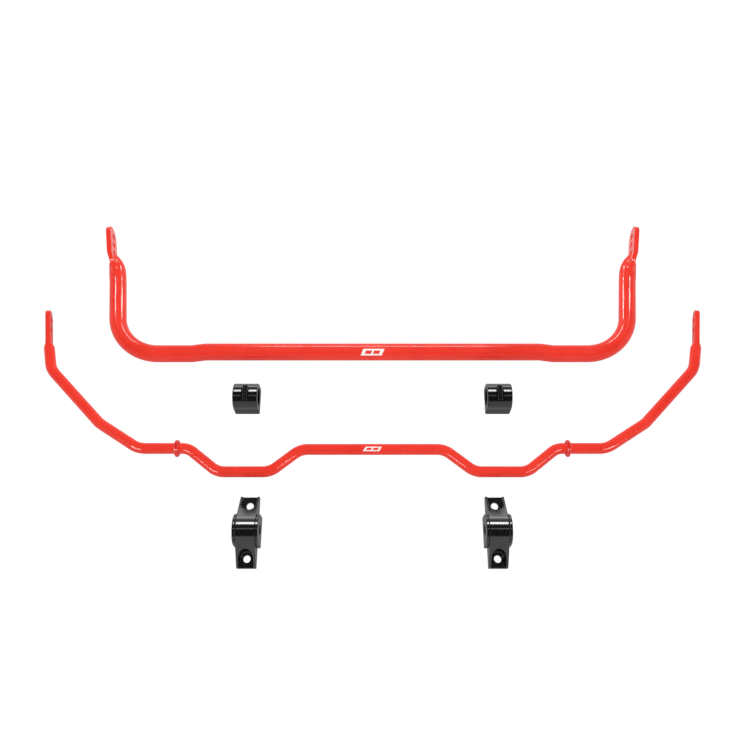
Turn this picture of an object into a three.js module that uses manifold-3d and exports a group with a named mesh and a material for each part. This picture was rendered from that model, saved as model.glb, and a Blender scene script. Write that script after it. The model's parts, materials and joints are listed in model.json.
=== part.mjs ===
// Front and rear sway bar kit, laid out flat the way it leaves the box.
// Millimetres, +X along the bars (vehicle right), +Y the way the arms point, +Z up.

import * as THREE from 'three';
import Module from 'manifold-3d';

const wasm = await Module();
wasm.setup();

// ---------- driving dimensions ----------

const JOIN_GAP = 0.3; // clearance left between two pieces that touch
const HALF_GAP = JOIN_GAP / 2;

// Each bar is drawn for its right half. Corners are [x, y, bend radius].
const FRONT_BAR = {
  radius: 16,
  wall: 5,
  sides: 24,
  axisHeight: 16,
  corners: [
    [313, 62.5, 60], [337, 59, 60], [476, 59, 85], [496.5, 227.5, 60], [511.3, 266, 40],
    [522.6, 331.2, 0],
  ],
  plate: { thickness: 9.5, height: 42, lean: 0, forging: 45, length: 129 },
  holes: { radius: 6.25, fromTip: [21.5, 40.5, 59.5] },
};

const REAR_BAR = {
  radius: 9.75,
  wall: 0,
  sides: 20,
  axisHeight: 15.4, // it lies on its collars
  seatY: -126, // the straight runs that turn in the bushings
  corners: [
    [128, -127.8, 38], [180, -169, 38], [273, -169, 38], [327.5, -126, 30],
    [417, -126, 45], [492, -78.6, 45], [596, 27.6, 45], [606.5, 72.5, 60], [619, 148.5, 0],
  ],
  plate: { thickness: 9, height: 28, lean: THREE.MathUtils.degToRad(9), forging: 17, length: 80 },
  holes: { radius: 5.25, fromTip: [20.5, 42] },
};

const COLLAR = { x: 347.4, width: 9.5, outer: 15.4, crown: 0.75, slit: 2.2, slitTurn: 0.9 };

const FRONT_BUSHING = {
  x: 228.5, y: -31.2, width: 44.5, axisHeight: 24.2, outer: 24.5, bore: 16, bevel: 1.6,
  groove: { radius: 7.2, rise: 1.7 }, // round cross channel, its axis just above the crown
};

const REAR_BUSHING = {
  x: 213, y: -273.5, axisHeight: 24, bodyRadius: 21, flangeRadius: 27, flangeWidth: 5,
  width: 44, bore: 9.75, bevel: 1.4,
  tuck: 1, // the body ends this far inside the flanges
};

const BRACKET = {
  width: 33.4, outer: 27, length: 123, endHeight: 10, seat: 5.5,
  pocketRadius: 12.6, holeSpacing: 91, holeRadius: 6.25, bevel: 1.2,
};

const SLIT_WIDTH = 1; // the cut that lets a bushing open over its bar

// A slanted frame with two windows, given as shares of its half width and half height.
const LABEL = {
  thickness: 0.35, slant: 5, windowHeight: 0.45, windows: [[-0.68, -0.08], [0.08, 0.68]],
};
const FRONT_LABEL = { width: 44, height: 12.5, lean: 0.45 };
const REAR_LABEL = { width: 34, height: 8, lean: 0.22 };

// Facets round each kind of round shape.
const FACETS = { tubeBore: 16, bolt: 24, rod: 24, bore: 28, collar: 32, pocket: 36 };

// ---------- colours ----------

const paint = (name, color, roughness, metalness) =>
  new THREE.MeshStandardMaterial({ name, color, roughness, metalness });

const redCoat = paint('red_powder_coat', 0xd8281c, 0.28, 0.0);
const blackRubber = paint('black_polyurethane', 0x101011, 0.3, 0.0);
const blackSteel = paint('black_bracket', 0x161617, 0.42, 0.3);
const whiteInk = paint('white_ink', 0xf4f4f2, 0.5, 0.0);

// ---------- solids ----------

const CUT_OVERRUN = 5; // how far a cutter runs past what it cuts

function solid(geometry) {
  const flat = geometry.index ? geometry.toNonIndexed() : geometry;
  const positions = flat.getAttribute('position');
  const seen = new Map();
  const vertices = [];
  const triangles = [];
  for (let i = 0; i < positions.count; i += 1) {
    const point = [positions.getX(i), positions.getY(i), positions.getZ(i)];
    const key = point.map((value) => Math.round(value * 1e4)).join(',');
    if (!seen.has(key)) {
      seen.set(key, vertices.length / 3);
      vertices.push(...point);
    }
    triangles.push(seen.get(key));
  }
  const kept = [];
  for (let i = 0; i < triangles.length; i += 3) {
    const [a, b, c] = triangles.slice(i, i + 3);
    if (a !== b && b !== c && c !== a) kept.push(a, b, c);
  }
  return new wasm.Manifold(new wasm.Mesh({
    numProp: 3,
    vertProperties: new Float32Array(vertices),
    triVerts: new Uint32Array(kept),
  }));
}

function geometryOf(body) {
  const mesh = body.getMesh();
  const geometry = new THREE.BufferGeometry();
  const points = [];
  for (let i = 0; i < mesh.vertProperties.length; i += mesh.numProp) {
    points.push(mesh.vertProperties[i], mesh.vertProperties[i + 1], mesh.vertProperties[i + 2]);
  }
  geometry.setAttribute('position', new THREE.Float32BufferAttribute(points, 3));
  geometry.setIndex(Array.from(mesh.triVerts));
  const faceted = geometry.toNonIndexed();
  faceted.computeVertexNormals();
  return faceted;
}

// A round pin from one point to another, used as a cutter.
function pin(from, to, radius, sides = 32) {
  const along = new THREE.Vector3().subVectors(to, from);
  const geometry = new THREE.CylinderGeometry(radius, radius, along.length(), sides);
  const turn = new THREE.Quaternion().setFromUnitVectors(
    new THREE.Vector3(0, 1, 0), along.clone().normalize(),
  );
  geometry.applyQuaternion(turn);
  const middle = new THREE.Vector3().addVectors(from, to).multiplyScalar(0.5);
  geometry.translate(middle.x, middle.y, middle.z);
  return solid(geometry);
}

function pinAlongX(x, halfLength, y, z, radius, sides) {
  return pin(
    new THREE.Vector3(x - halfLength, y, z), new THREE.Vector3(x + halfLength, y, z), radius, sides,
  );
}

function block(x, y, z, sizeX, sizeY, sizeZ) {
  const geometry = new THREE.BoxGeometry(sizeX, sizeY, sizeZ);
  geometry.translate(x, y, z);
  return solid(geometry);
}

// Extrudes an outline drawn in (Y, Z) along X, centred on x.
function extrudeAlongX(shape, x, width, bevel, curveSegments = 12) {
  const geometry = new THREE.ExtrudeGeometry(shape, {
    depth: width - 2 * bevel,
    bevelEnabled: bevel > 0,
    bevelThickness: bevel,
    bevelSize: bevel,
    bevelOffset: -bevel,
    bevelSegments: 2,
    curveSegments,
  });
  geometry.translate(0, 0, -(width - 2 * bevel) / 2);
  geometry.applyMatrix4(new THREE.Matrix4().makeBasis(
    new THREE.Vector3(0, 1, 0), new THREE.Vector3(0, 0, 1), new THREE.Vector3(1, 0, 0),
  ));
  geometry.translate(x, 0, 0);
  return solid(geometry);
}

function namedMesh(name, geometry, material) {
  const mesh = new THREE.Mesh(geometry, material);
  mesh.name = name;
  return mesh;
}

function mirrored(geometry) {
  const copy = geometry.clone();
  const positions = copy.getAttribute('position');
  for (let i = 0; i < positions.count; i += 3) {
    for (const corner of [0, 1, 2]) positions.setX(i + corner, -positions.getX(i + corner));
    const kept = new THREE.Vector3().fromBufferAttribute(positions, i + 1);
    positions.setXYZ(
      i + 1, positions.getX(i + 2), positions.getY(i + 2), positions.getZ(i + 2),
    );
    positions.setXYZ(i + 2, kept.x, kept.y, kept.z);
  }
  copy.computeVertexNormals();
  return copy;
}

// ---------- the bent centre line of a bar ----------

const ARC_STEP = THREE.MathUtils.degToRad(7);

// Straight runs joined by arcs, as a list of pieces that know their start, length and heading.
function bentLine(start, corners) {
  const pieces = [];
  let here = start.clone();
  let length = 0;
  const add = (piece) => {
    pieces.push({ ...piece, begins: length });
    length += piece.length;
  };
  const straightTo = (point) => {
    const run = point.clone().sub(here);
    if (run.length() > 1e-6) add({ from: here, heading: run.angle(), length: run.length(), curve: 0 });
    here = point;
  };
  corners.forEach(([x, y, radius], i) => {
    const corner = new THREE.Vector2(x, y);
    if (i === corners.length - 1) {
      straightTo(corner);
      return;
    }
    const next = new THREE.Vector2(corners[i + 1][0], corners[i + 1][1]);
    const inward = corner.clone().sub(here).normalize();
    const outward = next.sub(corner).normalize();
    const turn = Math.atan2(inward.cross(outward), inward.dot(outward));
    const tangent = radius * Math.tan(Math.abs(turn) / 2);
    straightTo(corner.clone().addScaledVector(inward, -tangent));
    const arcLength = radius * Math.abs(turn);
    add({ from: here, heading: inward.angle(), length: arcLength, curve: Math.sign(turn) / radius });
    here = corner.clone().addScaledVector(outward, tangent);
  });
  return { pieces, length };
}

function pointOn(line, distance) {
  const piece = line.pieces.findLast((p) => p.begins <= distance + 1e-9) ?? line.pieces[0];
  const s = distance - piece.begins;
  const heading = piece.heading + piece.curve * s;
  if (piece.curve === 0) {
    const ahead = new THREE.Vector2(Math.cos(heading), Math.sin(heading));
    return { point: piece.from.clone().addScaledVector(ahead, s), heading };
  }
  const r = 1 / piece.curve;
  const point = new THREE.Vector2(
    piece.from.x + r * (Math.sin(heading) - Math.sin(piece.heading)),
    piece.from.y - r * (Math.cos(heading) - Math.cos(piece.heading)),
  );
  return { point, heading };
}

// Distances along the line where a ring of vertices is needed.
function stations(line, extra) {
  const found = new Set([0, line.length, ...extra]);
  for (const piece of line.pieces) {
    const steps = piece.curve === 0 ? 1 : Math.ceil((piece.length * Math.abs(piece.curve)) / ARC_STEP);
    for (let i = 0; i <= steps; i += 1) found.add(piece.begins + (piece.length * i) / steps);
  }
  const sorted = [...found].filter((s) => s >= 0 && s <= line.length).sort((a, b) => a - b);
  return sorted.filter((s, i) => i === 0 || s - sorted[i - 1] > 0.4);
}

// Sweeps a cross section along the line. section(s) gives half sizes, lean and centre height.
function sweep(line, distances, sides, section) {
  const geometry = new THREE.CylinderGeometry(1, 1, 1, sides, distances.length - 1);
  geometry.rotateY(Math.PI / sides);
  const positions = geometry.getAttribute('position');
  for (let i = 0; i < positions.count; i += 1) {
    const ring = Math.round((0.5 - positions.getY(i)) * (distances.length - 1));
    const across = -positions.getX(i);
    const up = positions.getZ(i);
    const { point, heading } = pointOn(line, distances[ring]);
    const { halfWide, halfTall, lean, height } = section(distances[ring]);
    const flank = Math.abs(up) < 1e-6 ? 0 : Math.sign(up) * (halfTall - halfWide);
    const x = across * halfWide;
    const z = up * halfWide + flank;
    const sideways = x * Math.cos(lean) - z * Math.sin(lean);
    const upward = x * Math.sin(lean) + z * Math.cos(lean);
    positions.setXYZ(
      i,
      point.x + sideways * Math.sin(heading),
      point.y - sideways * Math.cos(heading),
      height + upward,
    );
  }
  return solid(geometry);
}

const smooth = (t) => t * t * (3 - 2 * t);

// ---------- bars ----------

const TIP_RINGS = 7;
const FORGING_RINGS = 8;
const WALL_EASE = 0.01; // keeps two cutters' walls from lying on each other

// Height of a plate's middle: no lower than it can be without sinking below the bar.
function plateHeight(bar) {
  const { height, thickness, lean } = bar.plate;
  const lowest = (height / 2 - thickness / 2) * Math.cos(lean) + thickness / 2;
  return Math.max(bar.axisHeight, lowest);
}

// Round rod or tube, forged into a flat upright plate with a rounded end.
function barSection(bar, line) {
  const { thickness, height, lean, forging, length } = bar.plate;
  const plateStart = line.length - length;
  const tipStart = line.length - height / 2;
  return (s) => {
    const mix = smooth(THREE.MathUtils.clamp((s - plateStart) / forging, 0, 1));
    const rounding = Math.max(0, (s - tipStart) / (height / 2));
    const tall = (height / 2) * Math.sqrt(Math.max(0, 1 - rounding * rounding));
    const halfWide = THREE.MathUtils.lerp(bar.radius, thickness / 2, mix);
    return {
      halfWide,
      halfTall: Math.max(halfWide, THREE.MathUtils.lerp(bar.radius, tall, mix)),
      lean: lean * mix,
      height: THREE.MathUtils.lerp(bar.axisHeight, plateHeight(bar), mix),
    };
  };
}

function plateStations(bar, line) {
  const { height, forging, length } = bar.plate;
  const plateStart = line.length - length;
  const extra = [];
  for (let i = 0; i <= FORGING_RINGS; i += 1) extra.push(plateStart + (forging * i) / FORGING_RINGS);
  for (let i = 0; i < TIP_RINGS; i += 1) {
    extra.push(line.length - (height / 2) * (1 - Math.sin((i / TIP_RINGS) * (Math.PI / 2))));
  }
  return extra;
}

function plateHoles(bar, line) {
  const reach = bar.plate.height;
  return bar.holes.fromTip.map((fromTip) => {
    const { point, heading } = pointOn(line, line.length - fromTip);
    const centre = new THREE.Vector3(point.x, point.y, plateHeight(bar));
    const across = new THREE.Vector3(
      Math.sin(heading) * Math.cos(bar.plate.lean),
      -Math.cos(heading) * Math.cos(bar.plate.lean),
      Math.sin(bar.plate.lean),
    ).multiplyScalar(reach);
    return pin(centre.clone().sub(across), centre.clone().add(across), bar.holes.radius, FACETS.bolt);
  });
}

// The bore of a tube ends where the forging closes it.
function tubeBore(bar, line) {
  const radius = bar.radius - bar.wall;
  const end = line.length - bar.plate.length;
  const distances = stations(line, [end]).filter((s) => s <= end);
  const shaped = () => ({ halfWide: radius, halfTall: radius, lean: 0, height: bar.axisHeight });
  return sweep(line, distances, FACETS.tubeBore, shaped)
    .add(pinAlongX(0, 1, markY(bar), bar.axisHeight, radius - WALL_EASE, FACETS.tubeBore));
}

// Where the bar's axis crosses the middle of the kit.
const markY = (bar) => bar.corners[0][1];

function halfBar(bar) {
  const line = bentLine(new THREE.Vector2(HALF_GAP, markY(bar)), bar.corners);
  const distances = stations(line, plateStations(bar, line));
  let body = sweep(line, distances, bar.sides, barSection(bar, line));
  if (bar.wall > 0) body = body.subtract(tubeBore(bar, line));
  for (const hole of plateHoles(bar, line)) body = body.subtract(hole);
  return geometryOf(body);
}

// ---------- stop collars on the rear bar ----------

const CROWN_STEPS = 8;

function collar(side) {
  const { x, width, outer, crown: crownShare, slit, slitTurn } = COLLAR;
  const inner = REAR_BAR.radius + JOIN_GAP;
  const half = width / 2;
  const bulge = half * crownShare;
  const crown = [];
  for (let i = 0; i <= CROWN_STEPS; i += 1) {
    const turn = (i / CROWN_STEPS) * Math.PI;
    crown.push(new THREE.Vector2(outer - bulge + bulge * Math.sin(turn), -half * Math.cos(turn)));
  }
  const profile = [new THREE.Vector2(inner, -half), ...crown, new THREE.Vector2(inner, half)];
  profile.push(profile[0].clone());
  const ring = new THREE.LatheGeometry(profile, FACETS.collar);
  ring.rotateZ(-Math.PI / 2);
  ring.translate(side * x, REAR_BAR.seatY, REAR_BAR.axisHeight);
  const cut = new THREE.BoxGeometry(width + CUT_OVERRUN, slit, outer + CUT_OVERRUN);
  cut.translate(0, 0, -(outer + CUT_OVERRUN) / 2);
  cut.rotateX(-slitTurn);
  cut.translate(side * x, REAR_BAR.seatY, REAR_BAR.axisHeight);
  return geometryOf(solid(ring).subtract(solid(cut)));
}

// ---------- printed marks ----------

const LABEL_ROWS = 6;

// A slanted patch wrapped round the bar, between two distances from the bar's surface.
function wrappedPatch(bar, lean, [left, right], tall, slant, [low, high]) {
  const geometry = new THREE.BoxGeometry(right - left - slant, 2 * tall, high - low, 1, LABEL_ROWS, 1);
  const positions = geometry.getAttribute('position');
  for (let i = 0; i < positions.count; i += 1) {
    const up = positions.getY(i);
    const across = (left + right) / 2 + positions.getX(i) + (slant / 2) * (up / tall);
    const out = bar.radius + (low + high) / 2 + positions.getZ(i);
    const turn = up / bar.radius - lean;
    positions.setXYZ(
      i, across, markY(bar) + out * Math.sin(turn), bar.axisHeight + out * Math.cos(turn),
    );
  }
  return solid(geometry);
}

function label(bar, { width, height, lean }) {
  const { slant, thickness, windowHeight, windows } = LABEL;
  const half = width / 2;
  const tall = height / 2;
  const outside = JOIN_GAP + thickness;
  let body = wrappedPatch(bar, lean, [-half, half], tall, slant, [JOIN_GAP, outside]);
  for (const [left, right] of windows) {
    const edges = [left * half, right * half];
    body = body.subtract(wrappedPatch(
      bar, lean, edges, tall * windowHeight, slant * windowHeight, [-thickness, outside + thickness],
    ));
  }
  return geometryOf(body);
}

// ---------- bushings ----------

// Flat base, straight sides and a half-round top, about an axis at the given height.
function archShape(centreY, radius, axisHeight, base = 0) {
  const shape = new THREE.Shape();
  shape.moveTo(centreY - radius, base);
  shape.lineTo(centreY + radius, base);
  shape.lineTo(centreY + radius, axisHeight);
  shape.absarc(centreY, axisHeight, radius, 0, Math.PI, false);
  shape.lineTo(centreY - radius, base);
  return shape;
}

function slit({ x, y, axisHeight, width }) {
  const height = axisHeight + CUT_OVERRUN;
  return block(x, y, axisHeight - height / 2, width + 2 * CUT_OVERRUN, SLIT_WIDTH, height);
}

// Round channel across the crown of a front bushing, deepest at the top.
function crownGroove({ x, y, axisHeight, outer }, { radius, rise }) {
  const height = axisHeight + outer + rise;
  const near = new THREE.Vector3(x, y - 2 * outer, height);
  const far = new THREE.Vector3(x, y + 2 * outer, height);
  return pin(near, far, radius, FACETS.bore);
}

function frontBushing(side) {
  const b = { ...FRONT_BUSHING, x: side * FRONT_BUSHING.x };
  const body = extrudeAlongX(archShape(b.y, b.outer, b.axisHeight), b.x, b.width, b.bevel, 20)
    .subtract(pinAlongX(b.x, b.width, b.y, b.axisHeight, b.bore, FACETS.bore))
    .subtract(crownGroove(b, b.groove))
    .subtract(slit(b));
  return geometryOf(body);
}

function rearBushing(side) {
  const b = { ...REAR_BUSHING, x: side * REAR_BUSHING.x };
  const flangeX = b.width / 2 - b.flangeWidth / 2;
  let body = extrudeAlongX(archShape(b.y, b.bodyRadius, b.axisHeight), b.x, b.width - 2 * b.tuck, 0, 14);
  for (const end of [-1, 1]) {
    body = body.add(extrudeAlongX(
      archShape(b.y, b.flangeRadius, b.axisHeight), b.x + end * flangeX, b.flangeWidth, b.bevel, 18,
    ));
  }
  return geometryOf(body
    .subtract(pinAlongX(b.x, b.width, b.y, b.axisHeight, b.bore, FACETS.rod))
    .subtract(slit(b)));
}

// ---------- saddle brackets ----------

// A tent: straight slopes that run from the tips of the ears to touch the round crown.
function bracketShape(y, axisHeight) {
  const { outer, length, endHeight } = BRACKET;
  const end = length / 2;
  const drop = axisHeight - endHeight;
  const slope = Math.asin(outer / Math.hypot(end, drop)) + Math.atan2(drop, end);
  const shape = new THREE.Shape();
  shape.moveTo(y - end, 0);
  shape.lineTo(y + end, 0);
  shape.lineTo(y + end, endHeight);
  shape.absarc(y, axisHeight, outer, Math.PI / 2 - slope, Math.PI / 2 + slope, false);
  shape.lineTo(y - end, endHeight);
  shape.lineTo(y - end, 0);
  return shape;
}

// A bolt pocket: round at its inner end, open at the tip of the ear.
function boltPocket(x, y, way) {
  const { seat, pocketRadius, length, holeSpacing } = BRACKET;
  const top = BRACKET.outer * 2 + CUT_OVERRUN;
  const centre = y + (way * holeSpacing) / 2;
  const reach = length / 2 - holeSpacing / 2 + CUT_OVERRUN;
  const floor = new THREE.Vector3(x, centre, seat);
  const sky = new THREE.Vector3(x, centre, top);
  const mouthY = centre + (way * reach) / 2;
  return pin(floor, sky, pocketRadius, FACETS.pocket)
    .add(block(x, mouthY, (seat + top) / 2, 2 * pocketRadius, reach, top - seat));
}

function bracket(side) {
  const { y, axisHeight, bodyRadius } = REAR_BUSHING;
  const x = side * REAR_BUSHING.x;
  const saddle = archShape(y, bodyRadius + JOIN_GAP, axisHeight, -CUT_OVERRUN);
  let body = extrudeAlongX(bracketShape(y, axisHeight), x, BRACKET.width, BRACKET.bevel, 18)
    .subtract(extrudeAlongX(saddle, x, BRACKET.width + CUT_OVERRUN, 0, 14));
  for (const way of [-1, 1]) {
    const holeY = y + (way * BRACKET.holeSpacing) / 2;
    body = body.subtract(boltPocket(x, y, way)).subtract(pin(
      new THREE.Vector3(x, holeY, -CUT_OVERRUN), new THREE.Vector3(x, holeY, BRACKET.seat + CUT_OVERRUN),
      BRACKET.holeRadius, FACETS.bolt,
    ));
  }
  return geometryOf(body);
}

// ---------- the kit ----------

const kit = new THREE.Group();
kit.name = 'sway_bar_kit';

for (const [name, bar] of [['front_bar', FRONT_BAR], ['rear_bar', REAR_BAR]]) {
  const right = halfBar(bar);
  kit.add(namedMesh(`${name}_right`, right, redCoat));
  kit.add(namedMesh(`${name}_left`, mirrored(right), redCoat));
}
kit.add(namedMesh('front_bar_label', label(FRONT_BAR, FRONT_LABEL), whiteInk));
kit.add(namedMesh('rear_bar_label', label(REAR_BAR, REAR_LABEL), whiteInk));

for (const [word, side] of [['left', -1], ['right', 1]]) {
  kit.add(namedMesh(`rear_collar_${word}`, collar(side), redCoat));
  kit.add(namedMesh(`front_bushing_${word}`, frontBushing(side), blackRubber));
  kit.add(namedMesh(`rear_bushing_${word}`, rearBushing(side), blackRubber));
  kit.add(namedMesh(`rear_bracket_${word}`, bracket(side), blackSteel));
}

// The origin is on the ground, under the middle of the whole kit.
const bounds = new THREE.Box3().setFromObject(kit);
kit.position.y = -(bounds.min.y + bounds.max.y) / 2;

export default kit;
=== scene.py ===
import json
import math

import bmesh
import bpy
from mathutils import Matrix, Vector


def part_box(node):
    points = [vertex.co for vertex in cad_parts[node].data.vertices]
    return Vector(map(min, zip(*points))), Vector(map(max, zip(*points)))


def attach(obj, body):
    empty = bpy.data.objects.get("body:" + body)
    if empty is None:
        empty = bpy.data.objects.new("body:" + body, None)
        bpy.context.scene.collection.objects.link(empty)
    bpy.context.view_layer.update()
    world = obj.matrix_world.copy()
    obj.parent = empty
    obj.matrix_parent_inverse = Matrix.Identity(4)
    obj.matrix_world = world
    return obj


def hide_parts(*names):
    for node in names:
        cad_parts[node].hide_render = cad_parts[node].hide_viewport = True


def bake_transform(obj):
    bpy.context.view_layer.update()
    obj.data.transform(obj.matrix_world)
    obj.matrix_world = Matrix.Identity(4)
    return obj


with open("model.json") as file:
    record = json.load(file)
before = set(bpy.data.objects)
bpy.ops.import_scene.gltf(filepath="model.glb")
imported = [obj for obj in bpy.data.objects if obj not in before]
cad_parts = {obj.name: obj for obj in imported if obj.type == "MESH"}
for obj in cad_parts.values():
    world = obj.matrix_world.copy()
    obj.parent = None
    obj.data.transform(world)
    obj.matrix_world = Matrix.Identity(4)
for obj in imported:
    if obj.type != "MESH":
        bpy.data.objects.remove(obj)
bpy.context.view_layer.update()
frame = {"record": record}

# ---------- driving dimensions ----------

MM = 0.001

# Each bar is drawn for its right half. Corners are (x, y, bend radius) in millimetres.
FRONT_BAR = {
    "radius": 16.0,
    "sides": 64,
    "axis_height": 16.0,
    "corners": [
        (313, 62.5, 60), (337, 59, 60), (476, 59, 85), (496.5, 227.5, 60), (511.3, 266, 40),
        (522.6, 331.2, 0),
    ],
    "plate": {"thickness": 9.5, "height": 42.0, "lean": 0.0, "forging": 45.0, "length": 129.0},
    "shoulders": {"outer": (46.0, 64.0), "inner": (22.0, 92.0)},
    "hole_radius": 6.25,
    "holes_from_tip": (21.5, 40.5, 59.5),
}
REAR_BAR = {
    "radius": 9.75,
    "sides": 48,
    "axis_height": 15.4,
    "corners": [
        (128, -127.8, 38), (180, -169, 38), (273, -169, 38), (327.5, -126, 30), (417, -126, 45),
        (492, -78.6, 45), (596, 27.6, 45), (606.5, 72.5, 60), (619, 148.5, 0),
    ],
    "plate": {"thickness": 9.0, "height": 28.0, "lean": math.radians(9), "forging": 17.0, "length": 80.0},
    "shoulders": {"outer": (0.0, 22.0), "inner": (0.0, 22.0)},
    "hole_radius": 5.25,
    "holes_from_tip": (20.5, 42),
}
RING_STEP = 2.5  # distance between rings of vertices along a bar
TIP_RINGS = 18
PLATE_EDGE = 1.9  # radius on the long edges of a forged plate
FORGING_BLEND = 2.4  # how softly the plate meets the round rod it is forged from
CHAMFER = 0.7  # broken edge round each plate hole
ROD_CORE = 2.0  # the round rod fades to this radius, which lies inside the plate

FRONT_TWIST_REACH = 0.40  # half the run of each bar over which a twist would spread, in metres; nothing here uses it to twist the bars
REAR_TWIST_REACH = 0.335

LABEL_LIFT = 0.05  # ink stands this far off the paint
LABEL_THICKNESS = 0.12
LABEL_SLANT = 5.0
FRONT_LABEL = {"width": 44.0, "height": 12.5, "lean": 0.45}
REAR_LABEL = {"width": 34.0, "height": 8.0, "lean": 0.22}

GROOVE_RADIUS = 7.2
GROOVE_RISE = 1.7
BUSHING_BEVEL = 1.6
FLANGE_WIDTH = 5.0
SLIT_WIDTH = 1.0
COLLAR_SHARE = 0.76  # the crimped ring is a little narrower than the space it is given
SEAM_OFFSET = 4.8
SEAM_WIDTH = 1.1
SEAM_END = 42.0  # degrees up the near side where the mould line stops

BRACKET = {
    "outer": 27.0, "end_height": 10.0, "seat": 5.5, "pocket_radius": 12.6,
    "hole_spacing": 91.0, "hole_radius": 6.25, "saddle_radius": 21.3,
}
CAST_VOXEL = 0.00055  # grid that rounds the edges of the cast brackets

# ---------- camera ----------

VIEW_TARGET = Vector((0.0046, 0.0240, 0.0))
VIEW_ELEVATION = math.radians(67)
VIEW_DISTANCE = 1.505
LENS = 38.64


def make_camera():
    back = Vector((0.0, -math.cos(VIEW_ELEVATION), math.sin(VIEW_ELEVATION)))
    data = bpy.data.cameras.new("camera")
    data.lens = LENS
    data.sensor_width = 36.0
    camera = bpy.data.objects.new("camera", data)
    bpy.context.scene.collection.objects.link(camera)
    camera.location = VIEW_TARGET + back * VIEW_DISTANCE
    camera.rotation_euler = (-back).to_track_quat("-Z", "Y").to_euler()
    bpy.context.scene.camera = camera


# ---------- small mesh tools ----------


def new_object(name, mesh):
    obj = bpy.data.objects.new(name, mesh)
    bpy.context.scene.collection.objects.link(obj)
    return obj


def mesh_from(name, points, faces):
    """A mesh from points in millimetres."""
    mesh = bpy.data.meshes.new(name)
    mesh.from_pydata([(x * MM, y * MM, z * MM) for x, y, z in points], [], faces)
    mesh.validate()
    return mesh


def apply_modifiers(obj):
    depsgraph = bpy.context.evaluated_depsgraph_get()
    mesh = bpy.data.meshes.new_from_object(obj.evaluated_get(depsgraph))
    old = obj.data
    obj.modifiers.clear()
    obj.data = mesh
    bpy.data.meshes.remove(old)


def cut(obj, cutters):
    for cutter in cutters:
        boolean = obj.modifiers.new("cut", "BOOLEAN")
        boolean.operation = "DIFFERENCE"
        boolean.solver = "EXACT"
        boolean.object = cutter
    bpy.context.view_layer.update()
    apply_modifiers(obj)
    for cutter in cutters:
        bpy.data.objects.remove(cutter)


def outward(mesh):
    shape = bmesh.new()
    shape.from_mesh(mesh)
    bmesh.ops.remove_doubles(shape, verts=shape.verts, dist=1e-7)
    bmesh.ops.recalc_face_normals(shape, faces=shape.faces)
    shape.to_mesh(mesh)
    shape.free()


def shade(obj, angle):
    """Smooth shading that keeps edges sharper than the angle, and keeps flat faces flat."""
    obj.data.shade_smooth()
    obj.data.set_sharp_from_angle(angle=math.radians(angle))
    weigh = obj.modifiers.new("weigh", "WEIGHTED_NORMAL")
    weigh.keep_sharp = True
    weigh.weight = 80
    bpy.context.view_layer.update()
    apply_modifiers(obj)


def spin(name, profile, start, end, steps=48):
    """A closed solid turned about the line from start to end. Profile is (distance along, radius)."""
    along = (end - start).normalized()
    side = along.orthogonal().normalized()
    up = along.cross(side)
    points = []
    faces = []
    for distance, radius in profile:
        for i in range(steps):
            turn = math.tau * i / steps
            points.append(start + along * distance + (side * math.cos(turn) + up * math.sin(turn)) * radius)
    for ring in range(len(profile) - 1):
        for i in range(steps):
            j = (i + 1) % steps
            a, b = ring * steps, (ring + 1) * steps
            faces.append((a + i, a + j, b + j, b + i))
    faces.append(tuple(reversed(range(steps))))
    faces.append(tuple(range(len(points) - steps, len(points))))
    mesh = mesh_from(name, points, faces)
    outward(mesh)
    return new_object(name, mesh)


def block(name, centre, size):
    mesh = bpy.data.meshes.new(name)
    shape = bmesh.new()
    bmesh.ops.create_cube(shape, size=1.0)
    for vertex in shape.verts:
        vertex.co = Vector([(c + v * s) * MM for c, v, s in zip(centre, vertex.co, size)])
    shape.to_mesh(mesh)
    shape.free()
    return new_object(name, mesh)


# ---------- the bent centre line of a bar ----------


def bent_line(corners):
    """Straight runs and arcs as (start distance, length, point, heading, curvature)."""
    runs = []
    here = Vector((0.0, corners[0][1]))
    length = 0.0
    for i, (x, y, radius) in enumerate(corners):
        corner = Vector((x, y))
        inward = (corner - here).normalized()
        heading = math.atan2(inward.y, inward.x)
        tangent = 0.0
        turn = 0.0
        if i < len(corners) - 1:
            ahead = (Vector(corners[i + 1][:2]) - corner).normalized()
            turn = math.atan2(inward.x * ahead.y - inward.y * ahead.x, inward.dot(ahead))
            tangent = radius * math.tan(abs(turn) / 2)
        straight = (corner - here).length - tangent
        runs.append((length, straight, here.copy(), heading, 0.0))
        length += straight
        here = here + inward * straight
        if turn:
            arc = radius * abs(turn)
            runs.append((length, arc, here.copy(), heading, math.copysign(1 / radius, turn)))
            length += arc
            here = corner + ahead * tangent
    return runs, length


def point_on(runs, distance):
    begun = [run for run in runs if run[0] <= distance + 1e-9] or runs[:1]
    start, _, point, heading, curvature = begun[-1]
    s = distance - start
    now = heading + curvature * s
    if curvature == 0.0:
        return point + Vector((math.cos(now), math.sin(now))) * s, now
    r = 1 / curvature
    return point + Vector((math.sin(now) - math.sin(heading), math.cos(heading) - math.cos(now))) * r, now


def smooth(t):
    t = min(1.0, max(0.0, t))
    return t * t * (3 - 2 * t)


def mix(a, b, t):
    return a + (b - a) * t


def plate_height(bar):
    plate = bar["plate"]
    lowest = (plate["height"] - plate["thickness"]) / 2 * math.cos(plate["lean"]) + plate["thickness"] / 2
    return max(bar["axis_height"], lowest)


def edge_distance(turn, half_wide, half_tall, corner):
    """From the middle of a rounded rectangle to its edge, along the given direction."""
    c, t = abs(math.cos(turn)), abs(math.sin(turn))
    if c > 1e-9 and half_wide / c * t <= half_tall - corner:
        return half_wide / c
    if t > 1e-9 and half_tall / t * c <= half_wide - corner:
        return half_tall / t
    x, y = half_wide - corner, half_tall - corner
    toward = c * x + t * y
    return toward + math.sqrt(max(0.0, toward * toward - x * x - y * y + corner * corner))


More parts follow.
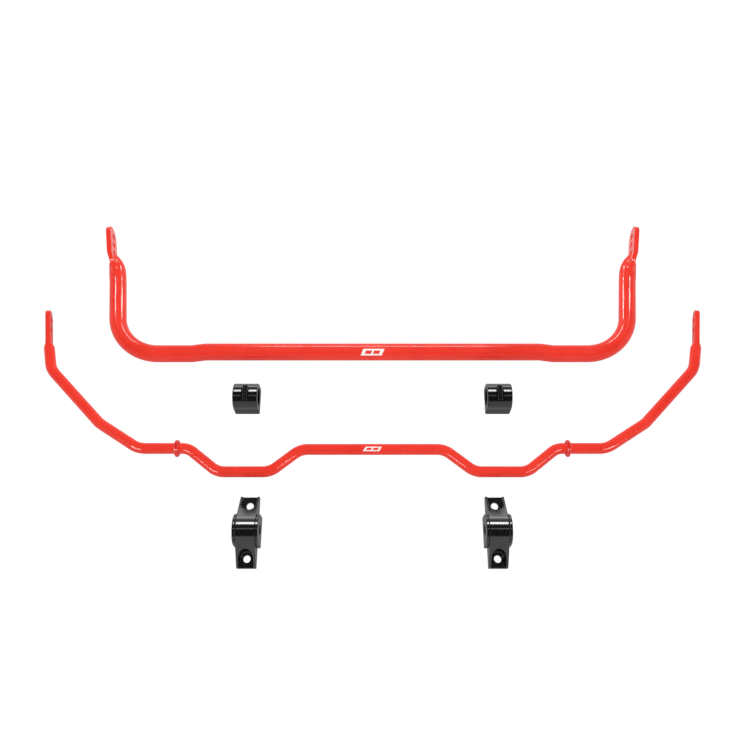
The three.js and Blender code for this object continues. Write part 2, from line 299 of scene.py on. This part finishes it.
def plate_size(bar, length, distance):
    """Half width, half height and edge radius of the forged plate, down to nothing at its tip."""
    plate = bar["plate"]
    to_tip = max(0.0, length - distance)
    rounding = max(0.0, 1 - to_tip / (plate["height"] / 2))
    tall = max(0.25, plate["height"] / 2 * math.sqrt(max(0.0, 1 - rounding * rounding)))
    thick = plate["thickness"] / 2
    if to_tip < PLATE_EDGE:
        thick -= PLATE_EDGE - math.sqrt(PLATE_EDGE ** 2 - (PLATE_EDGE - to_tip) ** 2)
    return thick, tall, min(thick, tall, PLATE_EDGE)


def shoulder_radius(bar, past_start, bend, outward):
    """What is left of the round rod, which runs straight on while the plate bends away by bend."""
    radii = []
    for side, shift in (("inner", bend), ("outer", -bend)):
        start, end = bar["shoulders"][side]
        whole = max(ROD_CORE, bar["radius"] + shift)
        radii.append(mix(whole, ROD_CORE, smooth((past_start - start) / (end - start))))
    return mix(radii[0], radii[1], smooth(outward + 0.5))


def bend_from_rod(runs, start, point):
    """How far a point on the centre line has left the straight run that passes through start."""
    rod_point, heading = point_on(runs, start)
    gone = point - rod_point
    return gone.x * math.sin(heading) - gone.y * math.cos(heading)


def ring_at(bar, runs, length, distance):
    """One ring round the bar: a round rod out of which a flat plate grows as a ridge."""
    plate = bar["plate"]
    sides = bar["sides"]
    plate_start = length - plate["length"]
    past_start = distance - plate_start
    flatness = smooth(past_start / plate["forging"])
    point, heading = point_on(runs, distance)
    bend = bend_from_rod(runs, plate_start, point)
    fade_start, fade_end = bar["shoulders"]["inner"]
    gathered = min(flatness, smooth((past_start - fade_start) / (fade_end - fade_start)))
    thick, tall, edge = plate_size(bar, length, distance)
    tall *= mix(bar["radius"] * 0.8 / (plate["height"] / 2), 1.0, flatness)
    lean = plate["lean"] * flatness
    height = mix(bar["axis_height"], plate_height(bar), flatness)
    ring = []
    for i in range(sides):
        even = math.tau * (i + 0.5) / sides
        flat_x = math.cos(even) * edge + math.copysign(thick - edge, math.cos(even))
        flat_y = math.sin(even) * edge + math.copysign(tall - edge, math.sin(even))
        flat_turn = math.atan2(flat_y, flat_x) % math.tau
        turn = mix(even, flat_turn, gathered)
        reach = bar["radius"]
        if past_start > 0:
            plate_reach = edge_distance(turn, thick, tall, edge)
            round_reach = shoulder_radius(bar, past_start, bend, math.cos(turn))
            blend = FORGING_BLEND * flatness * (1 - flatness) * 4
            gap = plate_reach - round_reach
            reach = (plate_reach + round_reach + math.sqrt(gap * gap + blend * blend)) / 2
        across = math.cos(turn) * reach
        up = math.sin(turn) * reach
        sideways = across * math.cos(lean) - up * math.sin(lean)
        upward = across * math.sin(lean) + up * math.cos(lean)
        ring.append(Vector((
            point.x + sideways * math.sin(heading),
            point.y - sideways * math.cos(heading),
            height + upward,
        )))
    return ring


def ring_distances(bar, length):
    plate = bar["plate"]
    tip_start = length - plate["height"] / 2
    count = math.ceil(tip_start / RING_STEP)
    distances = [tip_start * i / count for i in range(count + 1)]
    for i in range(1, TIP_RINGS + 1):
        distances.append(tip_start + plate["height"] / 2 * math.sin(math.pi / 2 * i / TIP_RINGS))
    return distances


def hole_cutters(name, bar, runs, length):
    """Drills with a flare where each one breaks through the plate, for both ends of the bar."""
    plate = bar["plate"]
    half = plate["thickness"] / 2
    radius = bar["hole_radius"]
    reach = half + 12
    profile = [
        (-reach, radius + CHAMFER + 12), (-half - 0.01, radius + CHAMFER + 0.01), (-half + CHAMFER, radius),
        (half - CHAMFER, radius), (half + 0.01, radius + CHAMFER + 0.01), (reach, radius + CHAMFER + 12),
    ]
    cutters = []
    for side in (-1, 1):
        for from_tip in bar["holes_from_tip"]:
            point, heading = point_on(runs, length - from_tip)
            across = Vector((
                side * math.sin(heading) * math.cos(plate["lean"]),
                -math.cos(heading) * math.cos(plate["lean"]),
                math.sin(plate["lean"]),
            ))
            centre = Vector((side * point.x, point.y, plate_height(bar)))
            inner = [p for p in profile if abs(p[0]) <= half + 0.02]
            wide = [(-half - 0.5, radius + CHAMFER + 0.5)] + inner + [(half + 0.5, radius + CHAMFER + 0.5)]
            cutters.append(spin(f"{name}_drill", wide, centre, centre + across, 40))
    return cutters


def make_bar(name, bar):
    """The whole bar, tip to tip, as one skin."""
    runs, length = bent_line(bar["corners"])
    distances = ring_distances(bar, length)
    right = [ring_at(bar, runs, length, s) for s in distances]
    left = [[Vector((-p.x, p.y, p.z)) for p in ring] for ring in reversed(right[1:])]
    points = [point for ring in left + right for point in ring]
    sides = bar["sides"]
    rings = len(left) + len(right)
    faces = []
    for ring in range(rings - 1):
        for i in range(sides):
            j = (i + 1) % sides
            a, b = ring * sides, (ring + 1) * sides
            faces.append((a + i, b + i, b + j, a + j))
    faces.append(tuple(range(sides)))
    faces.append(tuple(reversed(range((rings - 1) * sides, rings * sides))))
    mesh = mesh_from(name, points, faces)
    outward(mesh)
    obj = new_object(name, mesh)
    cut(obj, hole_cutters(name, bar, runs, length))
    shade(obj, 32)
    return obj


# ---------- stop collars ----------


def make_collar(name, node):
    """A crimped ring with a crowned outside and a narrow open joint."""
    low, high = (Vector(corner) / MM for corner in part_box(node))
    centre = (low + high) / 2
    outer = (high.y - low.y) / 2
    half = (high.x - low.x) / 2 * COLLAR_SHARE
    inner = REAR_BAR["radius"] + 0.05
    profile = [(inner, -half * 0.8)]
    for i in range(17):
        turn = math.pi * i / 16
        profile.append((outer - half * 0.9 + half * 0.9 * math.sin(turn), -half * math.cos(turn)))
    profile.append((inner, half * 0.8))
    gap = 0.09
    joint = math.radians(-39)
    steps = 72
    points = []
    faces = []
    for step in range(steps + 1):
        turn = joint + gap + (math.tau - 2 * gap) * step / steps
        for radius, along in profile:
            points.append((
                centre.x + along, centre.y - radius * math.cos(turn), centre.z + radius * math.sin(turn),
            ))
    count = len(profile)
    for step in range(steps):
        for i in range(count):
            j = (i + 1) % count
            a, b = step * count, (step + 1) * count
            faces.append((a + i, a + j, b + j, b + i))
    faces.append(tuple(range(count)))
    faces.append(tuple(reversed(range(steps * count, (steps + 1) * count))))
    mesh = mesh_from(name, points, faces)
    outward(mesh)
    obj = new_object(name, mesh)
    soften = obj.modifiers.new("soften", "BEVEL")
    soften.width = 0.0004
    soften.segments = 2
    soften.angle_limit = math.radians(50)
    shade(obj, 40)
    return obj


# ---------- printed marks ----------


def make_label(name, bar, size):
    """A plain slanted frame with two windows, printed round the bar."""
    half, tall = size["width"] / 2, size["height"] / 2
    rows = 16
    columns = 44

    def inside(u, v):
        shift = LABEL_SLANT / 2 * v
        edge = u - shift
        width = half - LABEL_SLANT / 2
        if abs(edge) > width:
            return False
        in_row = abs(v) < 0.45
        in_window = 0.08 < abs(edge) / half < 0.62
        return not (in_row and in_window)

    points = []
    faces = []
    axis_y = bar["corners"][0][1]
    for layer in (LABEL_LIFT, LABEL_LIFT + LABEL_THICKNESS):
        for row in range(rows + 1):
            v = -1 + 2 * row / rows
            turn = v * tall / bar["radius"] - size["lean"]
            for column in range(columns + 1):
                u = -half + LABEL_SLANT / 2 + (size["width"] - LABEL_SLANT) * column / columns
                reach = bar["radius"] + layer
                points.append((
                    u + LABEL_SLANT / 2 * v,
                    axis_y + reach * math.sin(turn),
                    bar["axis_height"] + reach * math.cos(turn),
                ))
    sheet = (rows + 1) * (columns + 1)
    filled = set()
    for row in range(rows):
        for column in range(columns):
            v = -1 + 2 * (row + 0.5) / rows
            u = -half + LABEL_SLANT / 2 + (size["width"] - LABEL_SLANT) * (column + 0.5) / columns
            if inside(u + LABEL_SLANT / 2 * v, v):
                filled.add((row, column))
    for row, column in sorted(filled):
        a = row * (columns + 1) + column
        quad = (a, a + 1, a + columns + 2, a + columns + 1)
        faces.append(tuple(reversed(quad)))
        faces.append(tuple(p + sheet for p in quad))
        edges = {
            (row - 1, column): (quad[0], quad[1]), (row, column + 1): (quad[1], quad[2]),
            (row + 1, column): (quad[2], quad[3]), (row, column - 1): (quad[3], quad[0]),
        }
        for neighbour, (p, q) in edges.items():
            if neighbour not in filled:
                faces.append((p, q, q + sheet, p + sheet))
    mesh = mesh_from(name, points, faces)
    shape = bmesh.new()
    shape.from_mesh(mesh)
    loose = [v for v in shape.verts if not v.link_faces]
    bmesh.ops.delete(shape, geom=loose, context="VERTS")
    shape.to_mesh(mesh)
    shape.free()
    outward(mesh)
    obj = new_object(name, mesh)
    shade(obj, 40)
    return obj


# ---------- bushings ----------

ARCH_STEPS = 72


def arch_outline(radius, axis_height, corner):
    """Half-round top, straight sides and a flat base with small round corners, as (y, z)."""
    outline = []
    for i in range(ARCH_STEPS + 1):
        turn = math.pi * i / ARCH_STEPS
        outline.append((radius * math.cos(turn), axis_height + radius * math.sin(turn)))
    for i in range(1, 7):
        outline.append((-radius, mix(axis_height, corner, i / 6)))
    for i in range(1, 7):
        turn = math.pi / 2 * i / 6
        outline.append((-radius + corner - corner * math.cos(turn), corner - corner * math.sin(turn)))
    for i in range(1, 17):
        outline.append((mix(-radius + corner, radius - corner, i / 16), 0.0))
    for i in range(1, 7):
        turn = math.pi / 2 * i / 6
        outline.append((radius - corner + corner * math.sin(turn), corner - corner * math.cos(turn)))
    for i in range(1, 6):
        outline.append((radius, mix(corner, axis_height, i / 6)))
    return outline


def arch_block(name, centre, width, radius, axis_height, bevel, stations):
    """A D-shaped moulding along X. Stations are (share of half width, inset) pairs in order."""
    outline = arch_outline(radius, axis_height, 1.6)
    count = len(outline)
    points = []
    faces = []
    for along, inset in stations:
        for y, z in outline:
            reach = math.hypot(y, z - axis_height)
            share = (reach - inset) / reach
            points.append((
                centre.x + along, centre.y + y * share,
                max(0.0, axis_height + (z - axis_height) * share) if z > 0.01 else inset * 0.4,
            ))
    for station in range(len(stations) - 1):
        for i in range(count):
            j = (i + 1) % count
            a, b = station * count, (station + 1) * count
            faces.append((a + i, a + j, b + j, b + i))
    faces.append(tuple(range(count)))
    faces.append(tuple(reversed(range((len(stations) - 1) * count, len(stations) * count))))
    mesh = mesh_from(name, points, faces)
    outward(mesh)
    return new_object(name, mesh)


def rounded_stations(half, bevel, steps=5):
    """Stations from one end to the other with a quarter-round at each end."""
    ends = []
    for i in range(steps + 1):
        turn = math.pi / 2 * i / steps
        ends.append((-half + bevel - bevel * math.cos(turn), bevel - bevel * math.sin(turn)))
    middle = [(mix(-half + bevel, half - bevel, i / 8), 0.0) for i in range(1, 8)]
    return ends + middle + [(-along, inset) for along, inset in reversed(ends)]


def bore_cutter(name, centre, half, axis_height, radius):
    flare = 0.8
    start = Vector((centre.x - half - 2, centre.y, axis_height))
    end = Vector((centre.x + half + 2, centre.y, axis_height))
    profile = [
        (0, radius + flare + 2), (2 + flare, radius), (2 * half + 2 - flare, radius),
        (2 * half + 4, radius + flare + 2),
    ]
    return spin(name, profile, start, end, 72)


def slit_cutter(name, centre, half, axis_height):
    size = (2 * half + 10, SLIT_WIDTH, axis_height + 2)
    return block(name, (centre.x, centre.y, axis_height / 2 - 1), size)


def seam_cutter(name, centre, radius, axis_height):
    """The mould line up the near side of a front bushing."""
    depth = 0.5
    outline = [(-radius + depth, 0.5), (-radius - 2, 0.5)]
    turns = [math.radians(SEAM_END) * i / 12 for i in range(13)]
    for turn in turns:
        outline.append((-(radius + 2) * math.cos(turn), axis_height + (radius + 2) * math.sin(turn)))
    for turn in reversed(turns):
        inner = radius - depth
        outline.append((-inner * math.cos(turn), axis_height + inner * math.sin(turn)))
    seam_centre = Vector((centre.x + SEAM_OFFSET, centre.y, centre.z))
    return extrude_x(name, seam_centre, SEAM_WIDTH, outline)


def node_box(node):
    low, high = (Vector(corner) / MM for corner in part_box(node))
    return low, high, (low + high) / 2


def make_front_bushing(name, node):
    low, high, centre = node_box(node)
    half = (high.x - low.x) / 2
    radius = (high.y - low.y) / 2
    axis_height = high.z - radius
    obj = arch_block(
        name, centre, 2 * half, radius, axis_height, BUSHING_BEVEL, rounded_stations(half, BUSHING_BEVEL),
    )
    groove_height = high.z + GROOVE_RISE
    start = Vector((centre.x, centre.y - 2 * radius, groove_height))
    end = Vector((centre.x, centre.y + 2 * radius, groove_height))
    groove = spin(f"{name}_groove", [(0, GROOVE_RADIUS), (4 * radius, GROOVE_RADIUS)], start, end, 72)
    cut(obj, [
        groove, seam_cutter(f"{name}_seam", centre, radius, axis_height),
        bore_cutter(f"{name}_bore", centre, half, axis_height, FRONT_BAR["radius"]),
        slit_cutter(f"{name}_slit", centre, half, axis_height),
    ])
    soften = obj.modifiers.new("soften", "BEVEL")
    soften.width = 0.0005
    soften.segments = 2
    soften.angle_limit = math.radians(38)
    shade(obj, 45)
    return obj


def make_rear_bushing(name, node):
    low, high, centre = node_box(node)
    half = (high.x - low.x) / 2
    flange_radius = (high.y - low.y) / 2
    axis_height = high.z - flange_radius
    body_radius = BRACKET["saddle_radius"] - 0.3
    step = 0.8
    inner = half - FLANGE_WIDTH
    drop = flange_radius - body_radius
    ends = []
    for i in range(6):
        turn = math.pi / 2 * i / 5
        ends.append((
            -half + BUSHING_BEVEL - BUSHING_BEVEL * math.cos(turn),
            BUSHING_BEVEL - BUSHING_BEVEL * math.sin(turn),
        ))
    ends += [(-inner - step, 0.0), (-inner - 0.2, step * 0.6), (-inner, drop), (-inner * 0.5, drop)]
    stations = ends + [(0.0, drop)] + [(-along, inset) for along, inset in reversed(ends)]
    obj = arch_block(name, centre, 2 * half, flange_radius, axis_height, BUSHING_BEVEL, stations)
    cut(obj, [
        bore_cutter(f"{name}_bore", centre, half, axis_height, REAR_BAR["radius"]),
        slit_cutter(f"{name}_slit", centre, half, axis_height),
    ])
    shade(obj, 38)
    return obj


# ---------- cast brackets ----------


def tent_outline(half_length, axis_height):
    """Slopes from the tips of the ears that run up to touch the round crown, as (y, z)."""
    outer, end_height = BRACKET["outer"], BRACKET["end_height"]
    drop = axis_height - end_height
    slope = math.asin(outer / math.hypot(half_length, drop)) + math.atan2(drop, half_length)
    outline = [(-half_length, 0.0), (half_length, 0.0), (half_length, end_height)]
    for i in range(61):
        turn = math.pi / 2 - slope + 2 * slope * i / 60
        outline.append((outer * math.cos(turn), axis_height + outer * math.sin(turn)))
    outline.append((-half_length, end_height))
    return outline


def extrude_x(name, centre, width, outline):
    count = len(outline)
    points = [(centre.x - width / 2, centre.y + y, z) for y, z in outline]
    points += [(centre.x + width / 2, centre.y + y, z) for y, z in outline]
    faces = [tuple(range(count)), tuple(reversed(range(count, 2 * count)))]
    for i in range(count):
        j = (i + 1) % count
        faces.append((i, i + count, j + count, j))
    mesh = mesh_from(name, points, faces)
    outward(mesh)
    return new_object(name, mesh)


def make_bracket(name, node, bushing_node):
    low, high, centre = node_box(node)
    half_length = (high.y - low.y) / 2
    bushing_low, bushing_high, _ = node_box(bushing_node)
    axis_height = bushing_high.z - (bushing_high.y - bushing_low.y) / 2
    obj = extrude_x(name, centre, high.x - low.x, tent_outline(half_length, axis_height))
    arch = arch_outline(BRACKET["saddle_radius"], axis_height, 0.001)
    saddle = [(y, z if z > 0.01 else -5.0) for y, z in arch]
    cutters = [extrude_x(f"{name}_saddle", centre, 60.0, saddle)]
    for way in (-1, 1):
        hole_y = centre.y + way * BRACKET["hole_spacing"] / 2
        radius = BRACKET["pocket_radius"]
        top = Vector((centre.x, hole_y, 60))
        floor = Vector((centre.x, hole_y, BRACKET["seat"]))
        cutters.append(spin(f"{name}_pocket", [(0, radius), (60, radius)], floor, top, 72))
        run = half_length - BRACKET["hole_spacing"] / 2 + 5
        mouth = (centre.x, hole_y + way * run / 2, BRACKET["seat"] + 30)
        cutters.append(block(f"{name}_mouth", mouth, (2 * radius, run, 60)))
        below = Vector((centre.x, hole_y, -5))
        bolt = [(0, BRACKET["hole_radius"]), (20, BRACKET["hole_radius"])]
        cutters.append(spin(f"{name}_bolt", bolt, below, top, 48))
    cut(obj, cutters)
    remesh = obj.modifiers.new("cast", "REMESH")
    remesh.mode = "VOXEL"
    remesh.voxel_size = CAST_VOXEL
    remesh.use_smooth_shade = True
    rounding = obj.modifiers.new("rounding", "SMOOTH")
    rounding.factor = 0.5
    rounding.iterations = 12
    thin = obj.modifiers.new("thin", "DECIMATE")
    thin.decimate_type = "COLLAPSE"
    thin.ratio = 0.25
    bpy.context.view_layer.update()
    apply_modifiers(obj)
    obj.data.shade_smooth()
    return obj


# ---------- materials ----------


class Nodes:
    """A new node material with a few helpers for wiring it."""

    def __init__(self, name):
        self.material = bpy.data.materials.new(name)
        self.material.use_nodes = True
        self.tree = self.material.node_tree
        self.shader = self.tree.nodes["Principled BSDF"]
        coordinates = self.tree.nodes.new("ShaderNodeTexCoord")
        self.place = coordinates.outputs["Object"]

    def noise(self, scale, detail=2.0, roughness=0.5):
        node = self.tree.nodes.new("ShaderNodeTexNoise")
        node.inputs["Scale"].default_value = scale
        node.inputs["Detail"].default_value = detail
        node.inputs["Roughness"].default_value = roughness
        self.tree.links.new(self.place, node.inputs["Vector"])
        return node.outputs["Fac"]

    def ramp(self, source, stops):
        node = self.tree.nodes.new("ShaderNodeValToRGB")
        node.color_ramp.elements[0].position = stops[0][0]
        node.color_ramp.elements[0].color = (*stops[0][1], 1)
        node.color_ramp.elements[1].position = stops[-1][0]
        node.color_ramp.elements[1].color = (*stops[-1][1], 1)
        for position, color in stops[1:-1]:
            element = node.color_ramp.elements.new(position)
            element.color = (*color, 1)
        self.tree.links.new(source, node.inputs["Fac"])
        return node.outputs["Color"]

    def spread(self, source, low, high):
        """Maps a 0 to 1 value to low to high."""
        node = self.tree.nodes.new("ShaderNodeMapRange")
        node.inputs["To Min"].default_value = low
        node.inputs["To Max"].default_value = high
        self.tree.links.new(source, node.inputs["Value"])
        return node.outputs["Result"]

    def bump(self, height, strength, distance, under=None):
        node = self.tree.nodes.new("ShaderNodeBump")
        node.inputs["Strength"].default_value = strength
        node.inputs["Distance"].default_value = distance
        self.tree.links.new(height, node.inputs["Height"])
        if under is not None:
            self.tree.links.new(under, node.inputs["Normal"])
        return node.outputs["Normal"]

    def set(self, socket, value):
        self.shader.inputs[socket].default_value = value

    def link(self, source, socket):
        self.tree.links.new(source, self.shader.inputs[socket])


RED = (0.84, 0.043, 0.026)
RED_DEEP = (0.79, 0.037, 0.022)
RED_LIGHT = (0.88, 0.049, 0.031)


def red_powder_coat():
    """Glossy powder coat: even red, a faint orange-peel skin and a clear top."""
    n = Nodes("red_powder_coat")
    n.link(n.ramp(n.noise(18, 3), [(0.3, RED_DEEP), (0.5, RED), (0.72, RED_LIGHT)]), "Base Color")
    n.link(n.spread(n.noise(160, 2), 0.10, 0.14), "Roughness")
    n.link(n.bump(n.noise(420, 1.5), 0.03, 0.0001), "Normal")
    n.set("IOR", 1.45)
    n.set("Specular IOR Level", 0.22)
    return n.material


def shaded_red_paint():
    """The bar's red with a darker base colour, as painted shade on the crimped rings. It is also glossier.
    """
    n = Nodes("shaded_red_paint")
    # Painted shade: a darker copy of the bar's red stands in for the shade on the collars.
    n.link(n.ramp(n.noise(90, 3), [(0.3, (0.66, 0.012, 0.008)), (0.7, (0.76, 0.020, 0.013))]), "Base Color")
    n.link(n.spread(n.noise(260, 2), 0.05, 0.09), "Roughness")
    n.link(n.bump(n.noise(220, 2), 0.05, 0.0002), "Normal")
    n.set("IOR", 1.5)
    return n.material


def black_polyurethane():
    """Moulded polyurethane: near black, glossy, with a slight flow pattern."""
    n = Nodes("black_polyurethane")
    flow = n.ramp(n.noise(40, 4), [(0.3, (0.0030, 0.0030, 0.0033)), (0.7, (0.0060, 0.0060, 0.0063))])
    n.link(flow, "Base Color")
    n.link(n.spread(n.noise(120, 3), 0.10, 0.15), "Roughness")
    fine = n.bump(n.noise(500, 2), 0.008, 0.00005)
    n.link(n.bump(n.noise(60, 2), 0.01, 0.0001, fine), "Normal")
    n.set("IOR", 1.55)
    return n.material


def black_cast_bracket():
    """Black e-coat over a fine cast skin."""
    n = Nodes("black_cast_bracket")
    skin = n.ramp(n.noise(60, 4), [(0.3, (0.0035, 0.0035, 0.0038)), (0.7, (0.0075, 0.0075, 0.0080))])
    n.link(skin, "Base Color")
    n.link(n.spread(n.noise(220, 3), 0.12, 0.18), "Roughness")
    grain = n.bump(n.noise(700, 2), 0.02, 0.00005)
    n.link(n.bump(n.noise(80, 2), 0.02, 0.0001, grain), "Normal")
    n.set("IOR", 1.65)
    return n.material


def white_ink():
    """Screen-printed ink with slightly uneven cover."""
    n = Nodes("white_ink")
    n.link(n.ramp(n.noise(300, 4), [(0.3, (0.84, 0.83, 0.82)), (0.6, (0.94, 0.94, 0.93))]), "Base Color")
    n.link(n.spread(n.noise(500, 3), 0.35, 0.5), "Roughness")
    n.link(n.bump(n.noise(1400, 2), 0.15, 0.0001), "Normal")
    return n.material


def give(obj, material):
    obj.data.materials.clear()
    obj.data.materials.append(material)


# ---------- floor and light ----------


FLOOR_SIZE = 20000.0
FLOOR_DROP = 0.4  # the floor lies this far under the pieces, so that nothing sinks into it


def make_floor():
    """Pale paper, lit so evenly that it stays white and takes almost no shadow."""
    signs = ((-1, -1), (1, -1), (1, 1), (-1, 1))
    corners = [(x * FLOOR_SIZE, y * FLOOR_SIZE, -FLOOR_DROP) for x, y in signs]
    floor = new_object("floor", mesh_from("floor", corners, [(0, 1, 2, 3)]))
    n = Nodes("floor_paper")
    paper = n.ramp(n.noise(6, 2), [(0.3, (0.12, 0.12, 0.12)), (0.7, (0.14, 0.14, 0.14))])
    n.link(paper, "Base Color")
    n.set("Roughness", 0.9)
    n.set("Specular IOR Level", 0.0)
    n.set("Emission Color", (1, 1, 1, 1))
    n.set("Emission Strength", 0.96)
    give(floor, n.material)
    floor.visible_glossy = False


def area_light(name, place, aim, size, radiance):
    """A soft box at a place in metres, turned to face the aim. Its length runs level."""
    data = bpy.data.lights.new(name, "AREA")
    data.shape = "RECTANGLE"
    data.size, data.size_y = size
    data.energy = radiance * math.pi * size[0] * size[1]
    light = bpy.data.objects.new(name, data)
    bpy.context.scene.collection.objects.link(light)
    light.location = place
    light.rotation_euler = (Vector(aim) - Vector(place)).to_track_quat("-Z", "Y").to_euler()
    light.visible_camera = False
    return light


def over_x(elevation, distance=2.2):
    """A place over the line x = 0 at that elevation, counted from the near horizon over the top."""
    e = math.radians(elevation)
    return (0.0, -math.cos(e) * distance, math.sin(e) * distance)


# The room, from the ground up: (sine of elevation, brightness).
ROOM = ((-1.0, 0.32), (-0.88, 0.32), (-0.84, 0.97), (0.46, 0.97), (0.56, 0.05), (1.0, 0.04))


def make_world():
    """A white studio that is bright near the horizon and dark overhead."""
    world = bpy.data.worlds.new("studio")
    world.use_nodes = True
    tree = world.node_tree
    background = tree.nodes["Background"]
    coordinates = tree.nodes.new("ShaderNodeTexCoord")
    split = tree.nodes.new("ShaderNodeSeparateXYZ")
    tree.links.new(coordinates.outputs["Generated"], split.inputs["Vector"])
    spread = tree.nodes.new("ShaderNodeMapRange")
    spread.inputs["From Min"].default_value = -1.0
    tree.links.new(split.outputs["Z"], spread.inputs["Value"])
    ramp = tree.nodes.new("ShaderNodeValToRGB")
    elements = ramp.color_ramp.elements
    for i, (height, value) in enumerate(ROOM):
        position = (height + 1) / 2
        element = elements[i] if i < 2 else elements.new(position)
        element.position = position
        element.color = (value, value, value, 1)
    tree.links.new(spread.outputs["Result"], ramp.inputs["Fac"])
    tree.links.new(ramp.outputs["Color"], background.inputs["Color"])
    bpy.context.scene.world = world


def shown_in(light, pieces):
    """Draws this light in the gloss of these pieces only, and leaves their paint alone."""
    group = bpy.data.collections.new(f"{light.name}_pieces")
    for piece in pieces:
        group.objects.link(piece)
    light.light_linking.receiver_collection = group
    light.visible_diffuse = False


def make_lights(front_pieces, rear_pieces, black_pieces):
    """One soft fill for the paint, and boxes that only draw the highlights."""
    fill = area_light("fill", (0, 0.2, 2.6), (0, 0, 0), (3.0, 3.0), 2.65)
    fill.visible_glossy = False
    shown_in(area_light("back_box", over_x(125, 6.0), (0, 0, 0), (2.9, 1.6), 20), black_pieces)
    shown_in(area_light("top_strip", over_x(80), (0, 0, 0), (2.8, 0.13), 2.8), black_pieces)
    shown_in(area_light("horizon_panel", over_x(173, 3.0), (0, 0, 0), (2.6, 0.5), 4), black_pieces)
    shown_in(area_light("low_back_strip", over_x(148), (0, 0, 0), (1.1, 0.5), 17), front_pieces)
    for side in (-1, 1):
        outer_line = area_light(
            "arm_outer_strip", (side * 0.609, 0.345, 0.35), (side * 0.49, 0.345, 0.016), (0.07, 0.07), 60,
        )
        shown_in(outer_line, front_pieces)
        inner_line = area_light(
            "arm_inner_box", (-side * 0.077, 0.60, 0.249), (side * 0.49, 0.169, 0.016), (0.08, 0.14), 6.5,
        )
        inner_line.data.spread = math.radians(60)
        shown_in(inner_line, front_pieces)
        place = Vector((side * 0.547, -0.53, 0.64)) * 2.5 + Vector((side * 0.32, 0, 0))
        shown_in(area_light("front_box", place, (side * 0.3, -0.14, 0), (1.0, 0.7), 30), rear_pieces)



def build_bars(red, white):
    skins = []
    for word, bar, label, reach in (
        ("front", FRONT_BAR, FRONT_LABEL, FRONT_TWIST_REACH),
        ("rear", REAR_BAR, REAR_LABEL, REAR_TWIST_REACH),
    ):
        skin = make_bar(f"{word}_bar", bar)
        give(skin, red)
        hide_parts(f"{word}_bar_left", f"{word}_bar_right")
        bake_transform(skin)
        mark = make_label(f"{word}_bar_mark", bar, label)
        give(mark, white)
        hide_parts(f"{word}_bar_label")
        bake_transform(mark)
        skins.append(skin)
    return skins


def build_side(word, shaded_red, black, cast):
    made = []
    pieces = (
        (make_collar, "rear_collar", "rear_bar_{}_half", shaded_red, "red_coat"),
        (make_front_bushing, "front_bushing", "bushings", black, "black_moulding"),
        (make_rear_bushing, "rear_bushing", "bushings", black, "black_moulding"),
    )
    for make, kind, body, material, slot in pieces:
        node = f"{kind}_{word}"
        piece = make(f"{node}_skin", node)
        give(piece, material)
        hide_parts(node)
        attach(piece, body.format(word))
        made.append(piece)
    node = f"rear_bracket_{word}"
    piece = make_bracket(f"{node}_skin", node, f"rear_bushing_{word}")
    give(piece, cast)
    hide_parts(node)
    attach(piece, node)
    return made[:1], made[1:] + [piece]


def kit_shift():
    """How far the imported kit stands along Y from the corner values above, in millimetres."""
    joint = next(j for j in frame["record"]["behaviour"]["joints"] if j["name"] == "front_bar_roll")
    return joint["pos_m"][1] / MM - FRONT_BAR["corners"][0][1]


shift_y = kit_shift()
for moved_bar in (FRONT_BAR, REAR_BAR):
    moved_bar["corners"] = [(x, y + shift_y, radius) for x, y, radius in moved_bar["corners"]]

make_camera()
make_world()
make_floor()
bpy.context.scene.view_settings.view_transform = "Standard"

front_skin, rear_skin = build_bars(red_powder_coat(), white_ink())
# The collars get the darker red, which is painted shade.
shaded_red = shaded_red_paint()
black_rubber = black_polyurethane()
black_casting = black_cast_bracket()
rear_pieces = [rear_skin]
black_pieces = []
for side_word in ("left", "right"):
    collars, blacks = build_side(side_word, shaded_red, black_rubber, black_casting)
    rear_pieces += collars
    black_pieces += blacks
make_lights([front_skin], rear_pieces, black_pieces)
for bar_skin in (front_skin, rear_skin):
    bar_skin.visible_glossy = False
